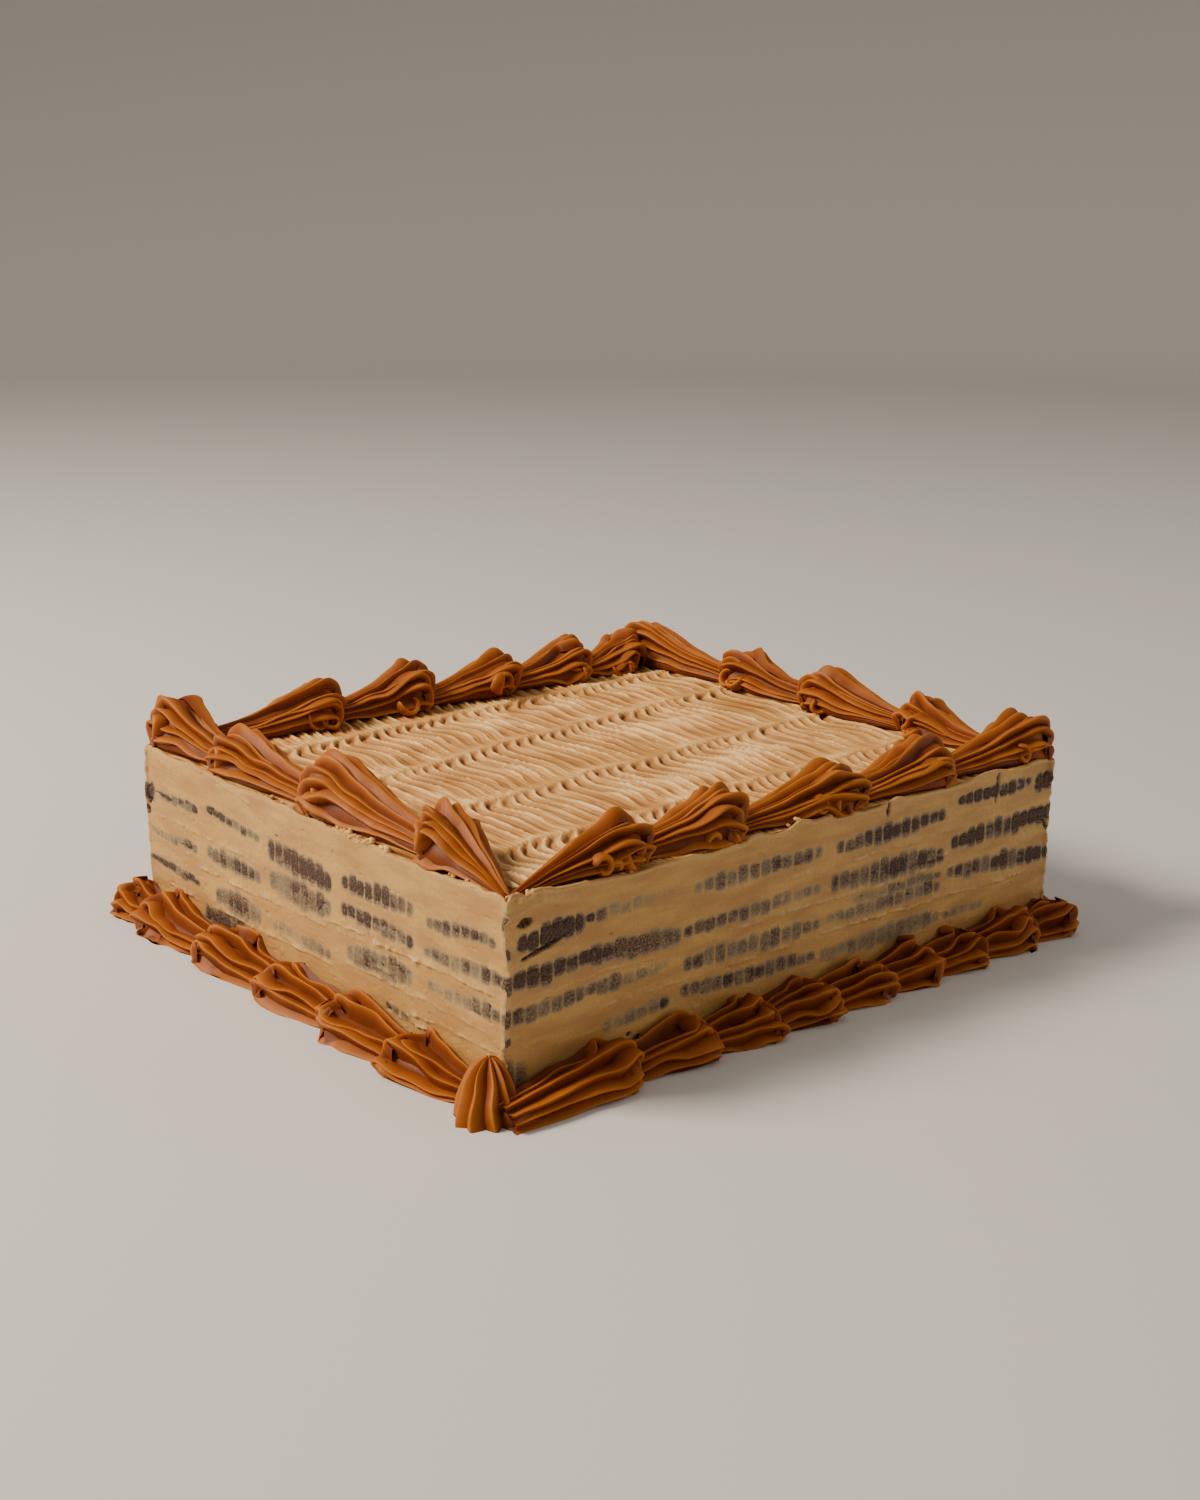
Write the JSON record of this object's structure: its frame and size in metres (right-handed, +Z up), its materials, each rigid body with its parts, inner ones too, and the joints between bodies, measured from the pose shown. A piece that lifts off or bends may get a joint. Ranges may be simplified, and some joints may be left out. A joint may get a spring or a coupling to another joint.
{
  "type": "chocotorta layer cake",
  "caption": "Rectangular layer cake of dark ribbed biscuits in caramel cream scraped thin at the sides, with a combed top and piped shell borders round the top edge and the foot.",
  "frame": {"origin": "centre of the cake's foot, on the surface that it stands on", "axes": "+Z up, X along the long sides, with the near corner of the picture at -X and -Y"},
  "size_m": [0.3234, 0.286, 0.0903],
  "materials": {
    "caramel_cream": "matte, soft, scraped and combed",
    "chocolate_biscuit": "matte, porous, ribbed edge",
    "dulce_de_leche": "satin, moist, sharp piped ridges"
  },
  "bodies": {
    "root": {"biscuit_layer_1": "chocolate_biscuit", "biscuit_layer_2": "chocolate_biscuit", "biscuit_layer_3": "chocolate_biscuit", "biscuit_layer_4": "chocolate_biscuit", "biscuit_layer_5": "chocolate_biscuit", "cream": "caramel_cream", "foot_shell_back_1": "dulce_de_leche", "foot_shell_back_2": "dulce_de_leche", "foot_shell_back_3": "dulce_de_leche", "foot_shell_back_4": "dulce_de_leche", "foot_shell_back_5": "dulce_de_leche", "foot_shell_back_6": "dulce_de_leche", "foot_shell_back_7": "dulce_de_leche", "foot_shell_back_8": "dulce_de_leche", "foot_shell_back_9": "dulce_de_leche", "foot_shell_front_1": "dulce_de_leche", "foot_shell_front_2": "dulce_de_leche", "foot_shell_front_3": "dulce_de_leche", "foot_shell_front_4": "dulce_de_leche", "foot_shell_front_5": "dulce_de_leche", "foot_shell_front_6": "dulce_de_leche", "foot_shell_front_7": "dulce_de_leche", "foot_shell_front_8": "dulce_de_leche", "foot_shell_front_9": "dulce_de_leche", "foot_shell_left_1": "dulce_de_leche", "foot_shell_left_2": "dulce_de_leche", "foot_shell_left_3": "dulce_de_leche", "foot_shell_left_4": "dulce_de_leche", "foot_shell_left_5": "dulce_de_leche", "foot_shell_left_6": "dulce_de_leche", "foot_shell_near_corner": "dulce_de_leche", "foot_shell_right_1": "dulce_de_leche", "foot_shell_right_2": "dulce_de_leche", "foot_shell_right_3": "dulce_de_leche", "foot_shell_right_4": "dulce_de_leche", "foot_shell_right_5": "dulce_de_leche", "foot_shell_right_6": "dulce_de_leche", "top_shell_back_1": "dulce_de_leche", "top_shell_back_2": "dulce_de_leche", "top_shell_back_3": "dulce_de_leche", "top_shell_back_4": "dulce_de_leche", "top_shell_back_5": "dulce_de_leche", "top_shell_front_1": "dulce_de_leche", "top_shell_front_2": "dulce_de_leche", "top_shell_front_3": "dulce_de_leche", "top_shell_front_4": "dulce_de_leche", "top_shell_front_5": "dulce_de_leche", "top_shell_left_1": "dulce_de_leche", "top_shell_left_2": "dulce_de_leche", "top_shell_left_3": "dulce_de_leche", "top_shell_left_4": "dulce_de_leche", "top_shell_right_1": "dulce_de_leche", "top_shell_right_2": "dulce_de_leche", "top_shell_right_3": "dulce_de_leche", "top_shell_right_4": "dulce_de_leche"}
  },
  "joints": []
}
